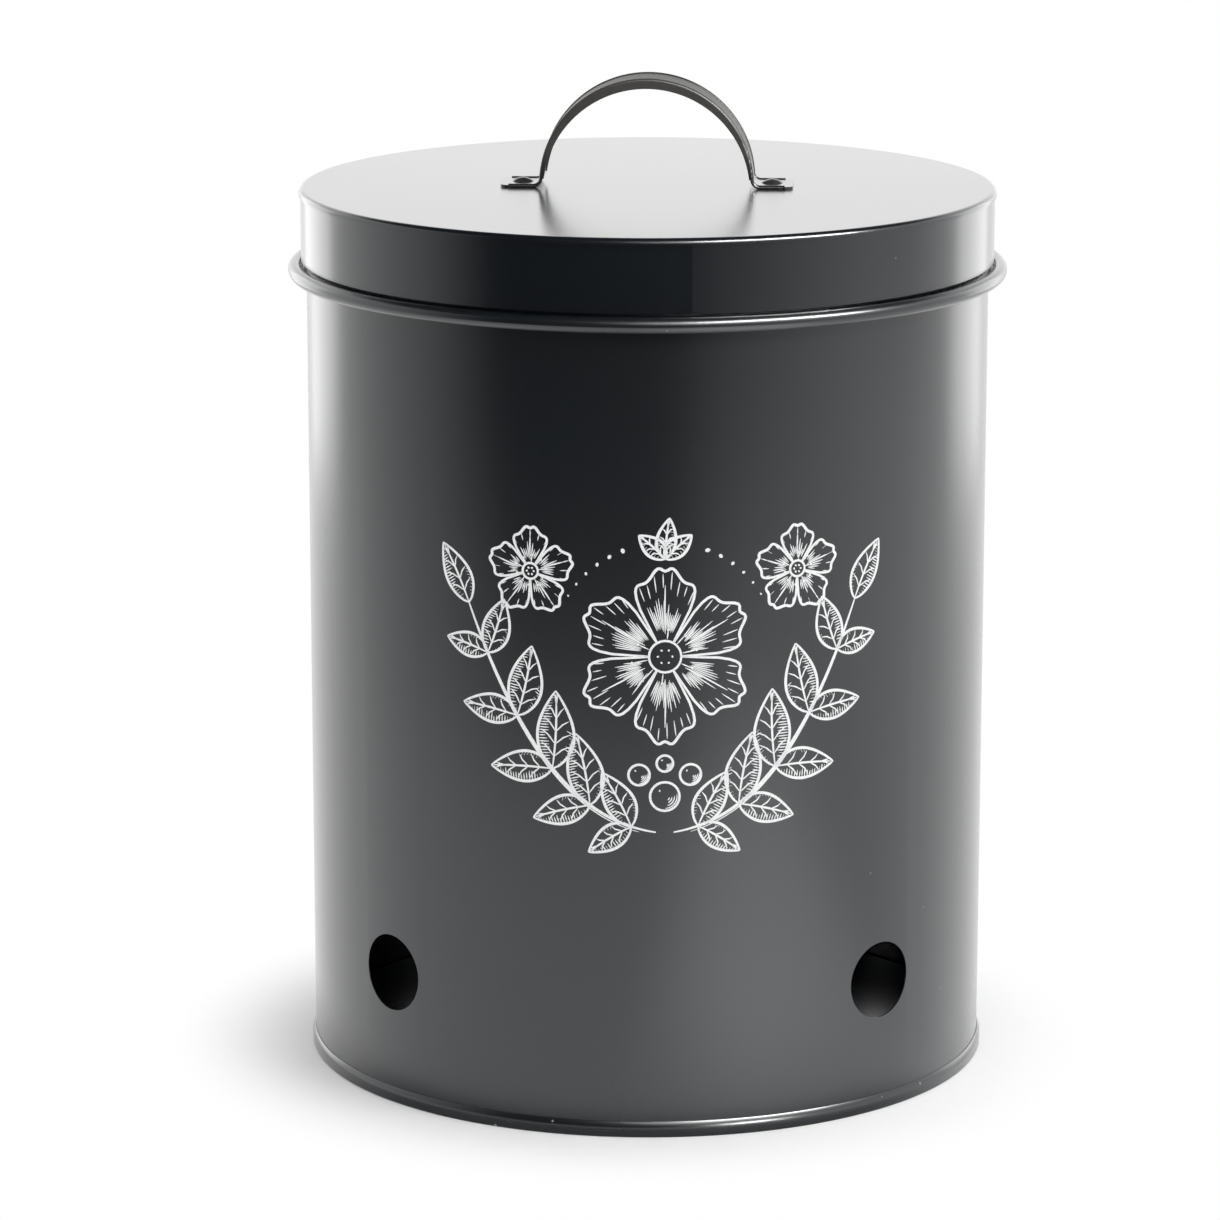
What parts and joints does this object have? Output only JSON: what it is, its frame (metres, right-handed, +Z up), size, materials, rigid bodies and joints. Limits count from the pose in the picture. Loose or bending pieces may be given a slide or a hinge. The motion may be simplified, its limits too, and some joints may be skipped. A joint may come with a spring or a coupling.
{
  "type": "potato storage bin",
  "caption": "Round sheet steel storage bin with vent holes low in its wall, a stop bead below the neck and a lift-off lid with a riveted strap handle.",
  "frame": {"origin": "centre of the base ring, on the surface that the bin stands on", "axes": "+Z up, the front with the print faces -Y, the handle runs along X"},
  "size_m": [0.253, 0.253, 0.3493],
  "materials": {
    "body_paint": "satin black powder coat with a white print",
    "lid_paint": "satin black powder coat",
    "handle_paint": "semi-gloss black paint",
    "rivet_metal": "dark painted steel"
  },
  "bodies": {
    "bin": {"bin_wall": "body_paint", "base_pan": "body_paint"},
    "lid": {"lid_disc": "lid_paint", "lid_band": "lid_paint", "handle_strap": "handle_paint", "rivet_left": "rivet_metal", "rivet_right": "rivet_metal"}
  },
  "joints": [
    {"name": "lid_lift", "type": "slide", "parent": "bin", "child": "lid", "axis": [0, 0, 1], "range_m": [0, 0.15]}
  ]
}
